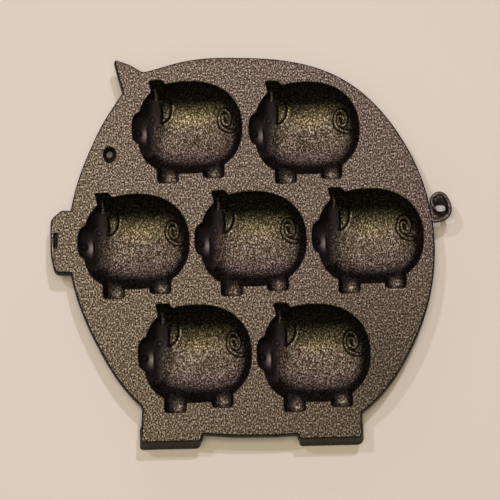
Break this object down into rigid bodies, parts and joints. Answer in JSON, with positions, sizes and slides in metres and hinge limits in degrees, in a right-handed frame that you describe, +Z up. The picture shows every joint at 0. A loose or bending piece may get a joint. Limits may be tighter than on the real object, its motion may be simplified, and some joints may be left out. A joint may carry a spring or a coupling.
{
  "type": "pig cake pan",
  "caption": "Flat cast-iron cake pan with the outline of a standing pig, pig-shaped hollows for small cakes, a curled tail with a hanging hole and feet under the legs.",
  "frame": {"origin": "bottom centre of the pan's box, on the surface that the hollows' shells and the feet rest on", "axes": "+X runs from the pig's snout to its tail, +Y from its feet to its back, and +Z up, out of the hollows"},
  "size_m": [0.2936, 0.2882, 0.0255],
  "materials": {
    "cast_iron": "bare dark cast iron with a fine grain left by the sand mould"
  },
  "bodies": {
    "root": {"deck": "cast_iron", "cup_upper_left": "cast_iron", "cup_upper_right": "cast_iron", "cup_middle_left": "cast_iron", "cup_centre": "cast_iron", "cup_middle_right": "cast_iron", "cup_lower_left": "cast_iron", "cup_lower_right": "cast_iron", "tail_curl": "cast_iron", "front_foot": "cast_iron", "rear_foot": "cast_iron"}
  },
  "joints": []
}
